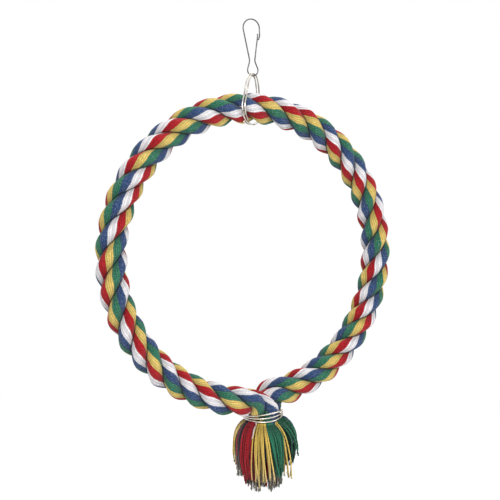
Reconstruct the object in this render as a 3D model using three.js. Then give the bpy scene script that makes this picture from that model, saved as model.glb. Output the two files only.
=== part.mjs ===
import * as THREE from "three";

// A swing perch for a bird cage: a ring of three-strand cotton rope on a wire snap hook, with the two rope
// ends tied into a tassel. Millimetres, +Z up. The ring lies in the XZ plane and is seen from -Y, and the
// origin is the point inside the top of the hook where the perch hangs.

// Ring and rope
const ringOuterDiameter = 250;
const ropeDiameter = 23.5;
const ringShift = -1.5; // of the ring's middle from under the hook, as the tassel's weight pulls it over
const ropeLay = 55.6; // length of rope in which a strand goes once round
const ropePhase = 1.830; // turn of the first strand at the front rope end, in radians
const layDrift = 0.35; // radians by which the strands run ahead of an even lay and fall behind it
const layDriftStart = 83.4; // where along the rope the strands begin to run ahead
const layDriftLength = 628; // from there until they have fallen behind and caught up again
const strandCount = 3;
const creaseDiameter = 14.8; // across the valleys between the strands
const strandGap = 0.4;
const coreDiameter = 2.4;
const coreClearance = 0.3;

// Rope ends: the front end comes from the left, the back end from the right, and both turn down
const neckDiameter = 28;
const neckOffset = 8.8; // how far the neck stands to the right of the ring's middle
const endBendSlack = 1.1; // room inside the fold where a rope end turns down
const neckSplit = 0.4; // gap between the two rope ends inside the neck
const neckSplitTurn = 50; // degrees from side by side in depth to side by side across
const hangOnset = 4; // how late the rope's end face takes on the slant of the tie
const crossingLength = 48; // length of rope over which an end moves in front or behind
const frontCrossing = 8; // how far the front end stands before the ring's plane at its bend
const backCrossing = 3; // how far the back end stands behind it
const squeezeOnset = 4; // how far before its bend a rope end begins to be squeezed
const squeezeHold = 6; // length of the bend, next to the neck, that is fully squeezed

// Snap hook of spring wire
const hookWireDiameter = 1;
const hookHeight = 44.2;
const hookTopRadius = 6.9; // to the middle of the wire, as the other radii of the hook
const hookBowRadius = 4.4;
const hookBowShift = 1;
const hookWaistWidth = 4.2; // between the middles of the two legs
const hookWaistShift = 0.6;
const hookWaistRise = 6.95; // from the middle of the lower bow up to the waist
const hookWaistBend = 6;
const hookCatchLength = 9; // from the middle of the top bow down to the tip of the catch
const hookCatchLean = 2; // how far the tip of the catch leans inward, in front of the gate
const gateCatchClearance = 0.5;
const gateSeatRise = 3.6; // from the tip of the catch up to where the gate bends inward
const gateTipLength = 1.4; // of the gate above that bend
const gateCutGap = 0.3;
const gateTipBend = 8; // degrees that the gate's tip leans inward

// Bail: one wire wound twice round the rope and over the lower bow of the hook
const bailWireDiameter = 1;
const bailRise = 26.4; // from the rope's middle up to the top of the bail
const bailSeatClearance = 0.1;
const bailBowClearance = 0.6;
const bailSidePlay = 0.65; // room at the sides for the rope to turn in the bail
const bailShoulder = 30; // degrees, half the spread of the bail's upper bend
const bailSkew = 1.05; // sideways run of the bail for each millimetre front to back
const bailShift = 1.6; // of the bail's foot from the ring's middle
const bailPitch = 2.2; // along the rope
const bailTurnAngle = 705; // degrees of winding
const bailStartAngle = 200; // degrees from the top, by way of the back
const bailEndLength = 2.6;

// Tie: one wire wound three times round both rope ends
const tieWireDiameter = 1;
const tieClearance = 0.9;
const tieTurns = 3;
const tieRise = -0.1; // from the ends of the bends up to the top turn
const tieOpenAngle = 60; // degrees that the last turn stops short
const tiePitch = 1.5;
const tieFrontDip = 3.3; // how far the lowest turn hangs lower in front
const tieDipStep = 1.5; // how much less each further turn hangs
const tieStartAngle = 105; // degrees from the front, by way of the right
const tieEndLength = 2.4;

// Tassel: the yarn of the strand ends below the tie, in locks on three rings
const tasselLength = 55;
const tasselWidth = 53;
const tasselFlareDepth = 15; // depth at which the tassel is widest
const tasselTipWidth = 40;
const lockGap = 0.35;
const lockTopGap = 0.7; // between the rope's end face and the locks
const lockStart = 1.4; // from the middle of the lowest tie wire down to the locks
const lockTipShare = 0.42;
const outerLockLength = 52; // of the longest
const outerLockShortening = 15; // of the shortest
const middleLockLength = 55;
const innerLockLength = 51;
const lockRagged = 2.5; // how much longer or shorter single locks are
const lockRings = [
  {
    reach: 1,
    length: outerLockLength,
    shortening: outerLockShortening,
    colours:
      "yellow filler red yellow yellow green yellow green green blue white red " +
      "blue filler blue white red yellow",
  },
  {
    reach: Math.sqrt(1 / 2),
    length: middleLockLength,
    shortening: 0,
    colours: "green filler filler filler filler blue green yellow red white blue red",
  },
  {
    reach: Math.sqrt(1 / 6),
    length: innerLockLength,
    shortening: 0,
    colours: "green blue red white white white",
  },
];
const firstLockAngle = -97; // degrees from the front, by way of the right
const longLockAngle = -25.5; // where the outer locks are longest, as they are on the far side
const raggedStep = 2.4; // radians by which the uneven length of the locks moves on from one to the next

// How finely the curved forms are stepped
const stepsPerLay = 12;
const lobePoints = 5;
const wireSides = 8;
const windingSides = 6;
const tieSteps = 24; // in each turn of the tie
const bailSteps = 32; // in each turn of the bail
const bailCrowding = 0.6; // how much closer the steps lie at the top of the bail
const arcStep = 14; // degrees
const curlSteps = 9;
const coreSteps = 60;
const coreEndSamples = 600; // places at which the core's two ends are looked for
const lockSides = 6;
const lockSteps = 6;
const headingStep = 0.5; // on either side of a place, to find which way the rope runs there
const gapSamples = 240; // points in each turn on which a winding's least gap is measured

// Sizes that follow from the ones above
const degrees = Math.PI / 180;
const fullTurn = 2 * Math.PI;
const ropeRadius = ropeDiameter / 2;
const ringRadius = (ringOuterDiameter - ropeDiameter) / 2;
const neckRadius = neckDiameter / 2;
const splitTurn = neckSplitTurn * degrees;
const endBendRadius = ropeRadius + endBendSlack;
const hookWireRadius = hookWireDiameter / 2;
const bailWireRadius = bailWireDiameter / 2;
const tieWireRadius = tieWireDiameter / 2;
const hookTopCentre = new THREE.Vector2(0, hookWireRadius - hookTopRadius);
const hookBottom = hookWireDiameter - hookHeight + hookWireRadius;
const hookBowCentre = new THREE.Vector2(hookBowShift, hookBottom + hookBowRadius);
const bailTop = hookBottom + hookWireRadius + bailBowClearance + bailWireRadius;
const ropeTop = bailTop - bailRise;
const ringCentre = new THREE.Vector3(ringShift, 0, ropeTop - ringRadius);

const colourOf = {
  red: "#b01c2c",
  yellow: "#d6b45a",
  green: "#227050",
  blue: "#32488c",
  white: "#d7d7da",
  filler: "#4a4048",
};

const perch = new THREE.Group();

function addPiece(name, geometry, colour, roughness, metalness) {
  const material = new THREE.MeshStandardMaterial({ color: colour, roughness, metalness });
  const mesh = new THREE.Mesh(geometry, material);
  mesh.name = name;
  perch.add(mesh);
}

function addSteel(name, geometry) {
  addPiece(name, geometry, "#b9b7b2", 0.3, 0.9);
}

function addCotton(name, geometry, colour) {
  addPiece(name, geometry, colour, 0.9, 0);
}

function smooth(from, to, value) {
  return THREE.MathUtils.smoothstep(value, from, to);
}

// Closed skin over a row of rings with as many points each. Rings run round the piece one way, and each
// strip is split along the diagonal that the caller picks, so that two facing walls are split alike.
function loft(rings, splitsForward = () => true) {
  const count = rings[0].length;
  const points = rings.flat();
  const triangles = [];
  for (let i = 0; i + 1 < rings.length; i++) {
    for (let k = 0; k < count; k++) {
      const a = i * count + k;
      const b = i * count + ((k + 1) % count);
      const c = a + count;
      const d = b + count;
      if (splitsForward(k)) triangles.push([a, b, d], [a, d, c]);
      else triangles.push([a, b, c], [b, d, c]);
    }
  }
  for (const [ring, base, turn] of [
    [rings[0], 0, -1],
    [rings.at(-1), (rings.length - 1) * count, 1],
  ]) {
    const middle = points.length;
    const sum = ring.reduce((total, p) => total.add(p), new THREE.Vector3());
    points.push(sum.divideScalar(count));
    for (let k = 0; k < count; k++) {
      const a = base + k;
      const b = base + ((k + 1) % count);
      triangles.push(turn > 0 ? [a, b, middle] : [b, a, middle]);
    }
  }
  const volume = triangles.reduce((total, [a, b, c]) => {
    return total + points[a].dot(points[b].clone().cross(points[c]));
  }, 0);
  const facing = volume < 0 ? triangles.map(([a, b, c]) => [a, c, b]) : triangles;
  const geometry = new THREE.BufferGeometry().setFromPoints(points);
  geometry.setIndex(facing.flat());
  geometry.computeVertexNormals();
  return geometry;
}

// Round wire along a row of points, with frames that don't spin round the wire.
function wire(points, radius, sides) {
  const heading = points.map((point, i) => {
    const before = points[Math.max(i - 1, 0)];
    const after = points[Math.min(i + 1, points.length - 1)];
    return after.clone().sub(before).normalize();
  });
  const start = Math.abs(heading[0].y) < 0.8 ? new THREE.Vector3(0, 1, 0) : new THREE.Vector3(1, 0, 0);
  let across = start;
  const rings = points.map((point, i) => {
    across = across.clone().addScaledVector(heading[i], -across.dot(heading[i])).normalize();
    const along = heading[i].clone().cross(across);
    return Array.from({ length: sides }, (_, k) => {
      const angle = (k / sides) * fullTurn;
      const spoke = across.clone().multiplyScalar(Math.cos(angle));
      spoke.addScaledVector(along, Math.sin(angle));
      return point.clone().addScaledVector(spoke, radius);
    });
  });
  return loft(rings);
}

// Least gap between the turns of a winding, measured between points that lie apart along the wire.
function reportLeastGap(name, pointAt, turns, diameter) {
  const samples = Math.round(turns * gapSamples);
  const points = Array.from({ length: samples + 1 }, (_, i) => pointAt((i / samples) * turns));
  let least = Infinity;
  for (let i = 0; i < points.length; i++) {
    for (let j = i + gapSamples / 4; j < points.length; j++) {
      least = Math.min(least, points[i].distanceTo(points[j]) - diameter);
    }
  }
  console.log(`${name}: least gap to itself ${least.toFixed(2)} mm`);
}

// A winding of so many turns, with both ends run out straight
function winding(pointAt, turns, stepsPerTurn, endLength) {
  const steps = Math.round(turns * stepsPerTurn);
  const points = Array.from({ length: steps + 1 }, (_, i) => pointAt((i / steps) * turns));
  const ahead = points[0].clone().sub(points[1]).setLength(endLength);
  const behind = points.at(-1).clone().sub(points.at(-2)).setLength(endLength);
  return [points[0].clone().add(ahead), ...points, points.at(-1).clone().add(behind)];
}

// The rope's middle line: up out of the neck in front, left round the ring, and down into the neck behind
function ropeLine() {
  const reach = ringRadius + endBendRadius;
  const offMiddle = (neckRadius + neckSplit) / 2;
  const frontNeckX = neckOffset - offMiddle * Math.sin(splitTurn);
  const backNeckX = neckOffset + offMiddle * Math.sin(splitTurn);
  const frontX = frontNeckX - endBendRadius;
  const backX = backNeckX + endBendRadius;
  const frontZ = -Math.sqrt(reach ** 2 - frontX ** 2);
  const backZ = -Math.sqrt(reach ** 2 - backX ** 2);
  const frontTurn = Math.atan2(-frontZ, -frontX);
  const backTurn = Math.PI - Math.atan2(-backZ, -backX);
  const ringStart = Math.atan2(frontZ, frontX) + fullTurn;
  const ringEnd = Math.atan2(backZ, backX);
  const tie = tiePlaces(frontZ, backZ);
  const frontRun = frontZ - tie.end;
  const backRun = backZ - tie.end;
  const lengths = [
    frontRun,
    endBendRadius * frontTurn,
    ringRadius * (ringStart - ringEnd),
    endBendRadius * backTurn,
    backRun,
  ];
  const total = lengths.reduce((sum, length) => sum + length, 0);

  // Place of the undisturbed middle line in the ring's plane
  function flat(s) {
    let left = s;
    if (left < lengths[0]) return [frontNeckX, tie.end + left];
    left -= lengths[0];
    if (left < lengths[1]) {
      const angle = left / endBendRadius;
      return [frontX + endBendRadius * Math.cos(angle), frontZ + endBendRadius * Math.sin(angle)];
    }
    left -= lengths[1];
    if (left < lengths[2]) {
      const angle = ringStart - left / ringRadius;
      return [ringRadius * Math.cos(angle), ringRadius * Math.sin(angle)];
    }
    left -= lengths[2];
    if (left < lengths[3]) {
      const angle = Math.PI - backTurn + left / endBendRadius;
      return [backX + endBendRadius * Math.cos(angle), backZ + endBendRadius * Math.sin(angle)];
    }
    left -= lengths[3];
    return [backNeckX, backZ - left];
  }

  // How far an end has moved aside and been squeezed, from 0 on the ring to 1 in the neck
  function ending(s) {
    const front = s < total / 2;
    const run = front ? frontRun : backRun;
    const toNeck = (front ? s : total - s) - run;
    const bend = endBendRadius * (front ? frontTurn : backTurn);
    const aside = 1 - smooth(bend + ropeRadius / 2, bend + ropeRadius / 2 + crossingLength, toNeck);
    const squeeze = 1 - smooth(squeezeHold, bend + squeezeOnset, toNeck);
    return { side: front ? 1 : -1, aside, squeeze };
  }

  function place(s) {
    const [x, z] = flat(s);
    const { side, aside, squeeze } = ending(s);
    const crossing = (side > 0 ? frontCrossing : backCrossing) * aside;
    const forward = THREE.MathUtils.lerp(crossing, offMiddle * Math.cos(splitTurn), squeeze);
    return new THREE.Vector3(x, -side * forward, z);
  }
  return { total, place, ending, tie };
}

// Heights of the tie and of the rope's end face, counted from the ring's middle
function tiePlaces(frontZ, backZ) {
  const lean = (backZ - frontZ) / 2;
  const lowest = (frontZ + backZ) / 2 + tieRise - tiePitch * (tieTurns - 1);
  return { lean, lowest, end: lowest - lockStart };
}

// How far the lower side of the tie hangs at a place round the neck: less at the left, lower in front
function tieHang(tie, angle, dip) {
  const front = Math.max(Math.cos(angle), 0);
  return tie.lean * Math.sin(angle) - dip * front ** 2;
}

const rope = ropeLine();

function frameAt(s) {
  const before = rope.place(Math.max(s - headingStep, 0));
  const after = rope.place(Math.min(s + headingStep, rope.total));
  const ahead = after.sub(before).normalize();
  const out = ahead.clone().cross(new THREE.Vector3(0, 1, 0)).normalize();
  const front = ahead.clone().cross(out);
  return { middle: rope.place(s), out, front };
}

// Place in space of a point of the round rope section, squeezed into its half of the neck near an end
function inRope(frame, ending, u, v) {
  const { side, squeeze } = ending;
  const cos = Math.cos(splitTurn);
  const sin = Math.sin(splitTurn);
  const alongSplit = THREE.MathUtils.clamp((u * cos - side * v * sin) / ropeRadius, -1, 1);
  const offSplit = (u * sin + side * v * cos) / ropeRadius;
  const chord = Math.sqrt(1 - alongSplit ** 2);
  const halfDisc = (offSplit + chord - 1) / 2;
  const across = THREE.MathUtils.lerp(u, neckRadius * (alongSplit * cos + halfDisc * sin), squeeze);
  const deep = THREE.MathUtils.lerp(v, side * neckRadius * (halfDisc * cos - alongSplit * sin), squeeze);
  const point = frame.middle.clone().addScaledVector(frame.out, across).addScaledVector(frame.front, deep);
  const right = point.x - neckOffset;
  const reach = Math.min(Math.hypot(right, point.y) / neckRadius, 1);
  const hang = reach * tieHang(rope.tie, Math.atan2(right, -point.y), tieFrontDip);
  point.z += hang * squeeze ** hangOnset;
  return point.add(ringCentre);
}

// Section of one strand round the rope's heart: a round lobe outside and flat walls to its neighbours
function strandSection() {
  const half = Math.PI / strandCount;
  const crease = creaseDiameter / 2;
  const lobeOut = (ropeRadius ** 2 - crease ** 2) / (2 * (ropeRadius - crease * Math.cos(half)));
  const lobeRadius = ropeRadius - lobeOut;
  const reach = Math.atan2(crease * Math.sin(half), crease * Math.cos(half) - lobeOut);
  const heart = (coreDiameter / 2 + coreClearance) / Math.cos(half / 2);
  const inset = strandGap / 2;
  const wallPoint = (radius, side) => [
    radius * Math.cos(half) + inset * Math.sin(half),
    side * (radius * Math.sin(half) - inset * Math.cos(half)),
  ];
  const section = [wallPoint(crease, -1)];
  for (let k = 1; k + 1 < lobePoints; k++) {
    const angle = reach * ((2 * k) / (lobePoints - 1) - 1);
    section.push([lobeOut + lobeRadius * Math.cos(angle), lobeRadius * Math.sin(angle)]);
  }
  section.push(wallPoint(crease, 1), wallPoint(heart, 1), [heart, 0], wallPoint(heart, -1));
  return section;
}

// Turn of a strand round the rope's middle line, by a lay that isn't quite even
function strandTurn(s, strand) {
  const drift = layDrift * Math.sin((fullTurn * (s - layDriftStart)) / layDriftLength);
  return ropePhase + drift + fullTurn * (s / ropeLay + strand / strandCount);
}

function buildStrands() {
  const section = strandSection();
  const steps = Math.round((rope.total / ropeLay) * stepsPerLay);
  const lowerWall = section.length - 1;
  for (let strand = 0; strand < strandCount; strand++) {
    const rings = [];
    for (let i = 0; i <= steps; i++) {
      const s = (rope.total * i) / steps;
      const frame = frameAt(s);
      const ending = rope.ending(s);
      const angle = strandTurn(s, strand);
      const cos = Math.cos(angle);
      const sin = Math.sin(angle);
      rings.push(section.map(([u, v]) => inRope(frame, ending, u * cos - v * sin, u * sin + v * cos)));
    }
    const splitsForward = (k) => k >= lobePoints - 1 && k !== lowerWall;
    addCotton(`rope_strand_${strand + 1}`, loft(rings, splitsForward), "#c04a3c");
  }
}

// Steel wire in the rope's heart, as far as the rope is round
function buildCore() {
  const onRing = (s) => rope.ending(s).squeeze === 0;
  const samples = Array.from({ length: coreEndSamples + 1 }, (_, i) => (rope.total * i) / coreEndSamples);
  const inside = samples.filter(onRing);
  const from = inside[0];
  const to = inside.at(-1);
  const points = Array.from({ length: coreSteps + 1 }, (_, i) => {
    return rope.place(THREE.MathUtils.lerp(from, to, i / coreSteps)).add(ringCentre);
  });
  addSteel("core_wire", wire(points, coreDiameter / 2, windingSides));
}

// Angle on a circle where the tangent from an outside point touches it, on the side asked for
function touchAngle(centre, radius, point, side) {
  const to = point.clone().sub(centre);
  return to.angle() + side * Math.acos(radius / to.length());
}

function arcPoints(centre, radius, from, to) {
  const steps = Math.max(2, Math.ceil(Math.abs(to - from) / (arcStep * degrees)));
  return Array.from({ length: steps + 1 }, (_, i) => {
    const angle = THREE.MathUtils.lerp(from, to, i / steps);
    return new THREE.Vector2(centre.x + radius * Math.cos(angle), centre.y + radius * Math.sin(angle));
  });
}

// Round bend at a corner between two straight runs
function bendPoints(before, corner, after, radius) {
  const back = before.clone().sub(corner).normalize();
  const on = after.clone().sub(corner).normalize();
  const half = Math.acos(THREE.MathUtils.clamp(back.dot(on), -1, 1)) / 2;
  const reach = radius / Math.tan(half);
  const centre = corner.clone().addScaledVector(back.clone().add(on).normalize(), radius / Math.sin(half));
  const from = corner.clone().addScaledVector(back, reach).sub(centre).angle();
  let to = corner.clone().addScaledVector(on, reach).sub(centre).angle();
  if (to - from > Math.PI) to -= fullTurn;
  if (from - to > Math.PI) to += fullTurn;
  return arcPoints(centre, radius, from, to);
}

function inHookPlane(point) {
  return new THREE.Vector3(point.x, 0, point.y);
}

function hookPlaces() {
  const waistHeight = hookBowCentre.y + hookWaistRise;
  const waistLeft = new THREE.Vector2(hookWaistShift - hookWaistWidth / 2, waistHeight);
  const waistRight = new THREE.Vector2(hookWaistShift + hookWaistWidth / 2, waistHeight);
  const topLeft = touchAngle(hookTopCentre, hookTopRadius, waistLeft, -1);
  const bowLeft = touchAngle(hookBowCentre, hookBowRadius, waistLeft, 1);
  const bowRight = touchAngle(hookBowCentre, hookBowRadius, waistRight, -1);
  const catchTip = hookTopCentre.y - hookCatchLength;
  return { waistLeft, waistRight, topLeft, bowLeft, bowRight, catchTip };
}

// The hook from the tip of the catch over the top, down the left leg and round the lower bow
function buildHook() {
  const { waistLeft, topLeft, bowLeft, bowRight, catchTip } = hookPlaces();
  const aside = hookWireDiameter + gateCatchClearance;
  const curl = new THREE.CubicBezierCurve3(
    new THREE.Vector3(hookTopRadius - hookCatchLean, -aside, catchTip),
    new THREE.Vector3(hookTopRadius, -aside, catchTip + hookCatchLength / 4),
    new THREE.Vector3(hookTopRadius, 0, catchTip + hookCatchLength / 2),
    new THREE.Vector3(hookTopRadius, 0, hookTopCentre.y),
  );
  const topArc = arcPoints(hookTopCentre, hookTopRadius, 0, topLeft);
  const legEnd = topArc.at(-1);
  const bowArc = arcPoints(hookBowCentre, hookBowRadius, bowLeft, bowRight + fullTurn);
  const waist = bendPoints(legEnd, waistLeft, bowArc[0], hookWaistBend);
  const flat = [...topArc.slice(1), ...waist, ...bowArc].map(inHookPlane);
  addSteel("hook_wire", wire([...curl.getPoints(curlSteps), ...flat], hookWireRadius, wireSides));
}

// The gate: the springy right leg, from the lower bow up to its tip inside the catch
function buildGate() {
  const { waistRight, bowRight, catchTip } = hookPlaces();
  const [foot] = arcPoints(hookBowCentre, hookBowRadius, bowRight, bowRight);
  const seatX = hookTopRadius - hookWireDiameter - gateCatchClearance;
  const seat = new THREE.Vector2(seatX, catchTip + gateSeatRise);
  const rise = waistRight.clone().sub(foot).normalize();
  const start = foot.clone().addScaledVector(rise, gateCutGap);
  const waist = bendPoints(start, waistRight, seat, hookWaistBend);
  const lean = gateTipBend * degrees;
  const tip = new THREE.Vector2(-Math.sin(lean), Math.cos(lean)).multiplyScalar(gateTipLength).add(seat);
  const flat = [start, ...waist, seat, tip].map(inHookPlane);
  addSteel("hook_gate", wire(flat, hookWireRadius, wireSides));
}

// Place on the bail after so many turns: a pear-shaped loop that follows the bend of the rope
function bailPoint(turn) {
  const even = bailStartAngle * degrees - fullTurn * turn;
  const angle = even - bailCrowding * Math.sin(even);
  const fromTop = Math.atan2(Math.sin(angle), Math.cos(angle));
  const seat = ropeRadius + bailSeatClearance + bailWireRadius;
  const hug = seat + bailSidePlay * Math.sin(angle) ** 2;
  const bump = Math.exp(-((fromTop / (bailShoulder * degrees)) ** 2));
  const reach = hug + (bailRise - seat) * bump;
  const y = reach * Math.sin(angle);
  const turnFromMiddle = turn - bailStartAngle / 360 - 1 / 2;
  const shift = THREE.MathUtils.lerp(bailShift, hookBowShift - ringShift, bump);
  const alongRope = bailSkew * y + bailPitch * turnFromMiddle + shift;
  const out = ringRadius + reach * Math.cos(angle);
  const swing = alongRope / out;
  return new THREE.Vector3(out * Math.sin(swing), y, out * Math.cos(swing)).add(ringCentre);
}

function buildBail() {
  const turns = bailTurnAngle / 360;
  const route = winding(bailPoint, turns, bailSteps, bailEndLength);
  addSteel("bail_wire", wire(route, bailWireRadius, windingSides));
  reportLeastGap("bail_wire", bailPoint, turns, bailWireDiameter);
}

function tiePoint(turn) {
  const angle = tieStartAngle * degrees + fullTurn * turn;
  const radius = neckRadius + tieClearance + tieWireRadius;
  const dip = tieFrontDip - tieDipStep * turn;
  const height = rope.tie.lowest + tiePitch * turn + tieHang(rope.tie, angle, dip);
  const point = new THREE.Vector3(neckOffset + radius * Math.sin(angle), -radius * Math.cos(angle), height);
  return point.add(ringCentre);
}

function buildTie() {
  const turns = tieTurns - tieOpenAngle / 360;
  const route = winding(tiePoint, turns, tieSteps, tieEndLength);
  addSteel("tie_wire", wire(route, tieWireRadius, windingSides));
  reportLeastGap("tie_wire", tiePoint, turns, tieWireDiameter);
}

// Half the tassel's width at a depth below the rope's end, as a share of the neck's radius
function flare(depth) {
  const widest = tasselWidth / neckDiameter;
  const tip = tasselTipWidth / neckDiameter;
  if (depth < tasselFlareDepth) {
    return THREE.MathUtils.lerp(1, widest, Math.sin((depth / tasselFlareDepth) * (Math.PI / 2)));
  }
  return THREE.MathUtils.lerp(widest, tip, smooth(tasselFlareDepth, tasselLength, depth));
}

// One lock of yarn, in its own cell of the neck, that spreads with the tassel and thins towards its end
function lockGeometry(inner, outer, from, to, length) {
  const rings = [];
  for (let i = 0; i <= lockSteps; i++) {
    const share = i / lockSteps;
    const depth = length * share;
    const spread = flare(depth);
    const thin = THREE.MathUtils.lerp(1, lockTipShare, share ** 2);
    const middle = (inner + outer) / 2;
    const halfDeep = ((outer - inner) / 2) * thin - lockGap / 2;
    const halfWide = ((to - from) / 2) * thin - lockGap / 2 / outer;
    const stillHanging = 1 - smooth(0, tasselFlareDepth, depth);
    const ring = [];
    for (let k = 0; k < lockSides; k++) {
      const corner = (k / lockSides) * fullTurn;
      const radius = middle + halfDeep * Math.cos(corner);
      const angle = (from + to) / 2 + halfWide * Math.sin(corner);
      const hang = (radius / neckRadius) * tieHang(rope.tie, angle, tieFrontDip);
      const x = neckOffset + radius * spread * Math.sin(angle);
      const y = -radius * spread * Math.cos(angle);
      const z = rope.tie.end - lockTopGap - depth + hang * stillHanging;
      ring.push(new THREE.Vector3(x, y, z).add(ringCentre));
    }
    rings.push(ring);
  }
  return loft(rings);
}

function buildTassel() {
  const made = {};
  lockRings.forEach(({ reach, length, shortening, colours }, row) => {
    const inner = row + 1 < lockRings.length ? lockRings[row + 1].reach * neckRadius : 0;
    const outer = reach * neckRadius;
    const names = colours.split(" ");
    const wide = fullTurn / names.length;
    names.forEach((colour, i) => {
      const middle = firstLockAngle * degrees + wide * i;
      const from = middle - wide / 2;
      const uneven = lockRagged * Math.sin(raggedStep * i + row);
      const sideways = Math.sin(middle - longLockAngle * degrees);
      const lockLength = length - shortening * sideways ** 2 + uneven;
      made[colour] = (made[colour] ?? 0) + 1;
      const geometry = lockGeometry(inner + lockGap, outer, from, from + wide, lockLength);
      addCotton(`tassel_${colour}_${made[colour]}`, geometry, colourOf[colour]);
    });
  });
}

buildHook();
buildGate();
buildBail();
buildStrands();
buildCore();
buildTie();
buildTassel();

export default perch;
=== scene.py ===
import math

import bpy
import numpy as np
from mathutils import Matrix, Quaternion, Vector


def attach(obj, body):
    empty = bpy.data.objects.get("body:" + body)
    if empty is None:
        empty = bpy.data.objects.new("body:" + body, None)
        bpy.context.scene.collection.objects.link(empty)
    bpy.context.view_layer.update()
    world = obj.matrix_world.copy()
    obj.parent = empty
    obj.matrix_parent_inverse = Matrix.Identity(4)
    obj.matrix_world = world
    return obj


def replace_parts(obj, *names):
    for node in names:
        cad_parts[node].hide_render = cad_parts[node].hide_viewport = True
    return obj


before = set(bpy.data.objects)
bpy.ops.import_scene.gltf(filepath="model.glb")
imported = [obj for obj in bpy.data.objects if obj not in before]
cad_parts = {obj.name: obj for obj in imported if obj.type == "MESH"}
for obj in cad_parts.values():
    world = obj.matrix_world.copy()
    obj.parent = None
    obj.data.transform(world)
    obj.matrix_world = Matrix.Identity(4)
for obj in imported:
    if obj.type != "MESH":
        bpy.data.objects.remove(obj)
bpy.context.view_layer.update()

# The rope swing perch, dressed: three laid strands of ridged yarn, smooth bent wires and a tassel of
# loose yarns. Sizes are millimetres in the frame of the solids, and become metres when a mesh is made.
MM = 0.001
TURN = 2 * math.pi
SEED = 20
rng = np.random.default_rng(SEED)

# Snap hook: the inside of its top bow lies at the origin, and its radii go to the middle of the wire
HOOK_R = 0.5
HOOK_HEIGHT = 44.2
HOOK_TOP_R = 6.9
HOOK_BOW_R = 4.4
HOOK_BOW_SHIFT = 1.0
HOOK_TOP = (0.0, HOOK_R - HOOK_TOP_R)
HOOK_BOW = (HOOK_BOW_SHIFT, 3 * HOOK_R + HOOK_BOW_R - HOOK_HEIGHT)
WAIST_X = 0.6
WAIST_HALF = 2.1  # half the way between the legs at the waist
WAIST_RISE = 6.95  # from the middle of the lower bow up to the waist
WAIST_Z = HOOK_BOW[1] + WAIST_RISE
WAIST_BEND = 6.0
CATCH_LENGTH = 9.0
CATCH_LEAN = 2.0
CATCH_CLEARANCE = 0.5
GATE_SEAT_RISE = 3.6  # from the tip of the catch up to where the gate bends inward
GATE_TIP = 1.4
GATE_LEAN = math.radians(8)

# Bail: one wire, wound twice round the rope and over the lower bow of the hook
SOFT_WIRE = 0.1  # by which the radius of the binding wires is larger than that of their solids
YARN_ROOM = 0.6  # by which the bail stands further out at its sides, to clear the ridges of the yarn
BAIL_R = 0.5
BAIL_RISE = 26.4  # from the rope's middle up to the top of the bail
BAIL_BOW_CLEARANCE = 0.6
BAIL_SEAT = 0.1
BAIL_PLAY = 0.65  # room at the sides for the rope to turn in the bail
BAIL_SHOULDER = math.radians(30)
BAIL_SKEW = 1.05  # sideways run for each millimetre front to back
BAIL_SHIFT = 1.6
BAIL_PITCH = 2.2
BAIL_TURNS = 705 / 360
BAIL_START = math.radians(200)
BAIL_END = 2.6
BAIL_CROWDING = 0.6  # how much closer the steps lie at the top of the bail

# Ring and rope
RING_OUTER_R = 125.0
ROPE_R = 11.75
RING_R = RING_OUTER_R - ROPE_R
RING_X = -1.5
bail_top = HOOK_BOW[1] - HOOK_BOW_R + HOOK_R + BAIL_BOW_CLEARANCE + BAIL_R
RING_Z = bail_top - BAIL_RISE - RING_R
STRANDS = 3
LAY = 55.6  # length of rope in which a strand goes once round
PHASE = 1.830  # turn of the first strand at the front rope end, in radians
DRIFT = 0.35  # radians by which the strands run ahead of an even lay and fall behind it
DRIFT_START = 83.4
DRIFT_LENGTH = 628.0
CREASE_R = 7.4  # out to the valleys between the strands
STRAND_GAP = 0.4
CORE_R = 1.2
CORE_CLEARANCE = 0.3

# Neck, where both rope ends turn down into the tie
NECK_R = 14.0
NECK_X = 8.8
END_SLACK = 1.1  # room inside the fold where a rope end turns down
BEND_R = ROPE_R + END_SLACK
NECK_SPLIT = 0.4
SPLIT_TURN = math.radians(50)
HANG_ONSET = 4  # how late the rope's end face takes on the slant of the tie
CROSSING = 48.0  # length of rope over which an end moves in front or behind
FRONT_CROSSING = 8.0
BACK_CROSSING = 3.0
SQUEEZE_ONSET = 4.0
SQUEEZE_HOLD = 6.0
LOOK_AHEAD = 0.5  # how far before and behind a place the rope's heading is taken

# Tie: one wire, wound round both rope ends
TIE_R = 0.5
TIE_CLEARANCE = 0.9
TIE_WINDS = 3
TIE_TURNS = TIE_WINDS - 60 / 360
TIE_PITCH = 1.5
TIE_RISE = -0.1
TIE_DIP = 3.3  # how far the lowest turn hangs lower in front
TIE_DIP_STEP = 1.5  # how much less each further turn hangs
TIE_START = math.radians(105)
TIE_END = 2.4

# Steps and sides of the wires
HOOK_SIDES = 20
WINDING_SIDES = 16
WINDING_STEPS = 260
BEVEL = 0.3  # at a cut end, as a share of the wire's radius
BALL_START = 10  # degrees from the pole to the first ring of a half ball
BALL_RINGS = 6
ARC_STEP = math.radians(4)
CURL_STEPS = 28
LEG_STEPS = 8
FOOT_STEPS = 4
GATE_STEPS = 12
MOST_UPRIGHT = 0.8  # heading along Y past which a wire's first ring is set out from X instead

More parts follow.
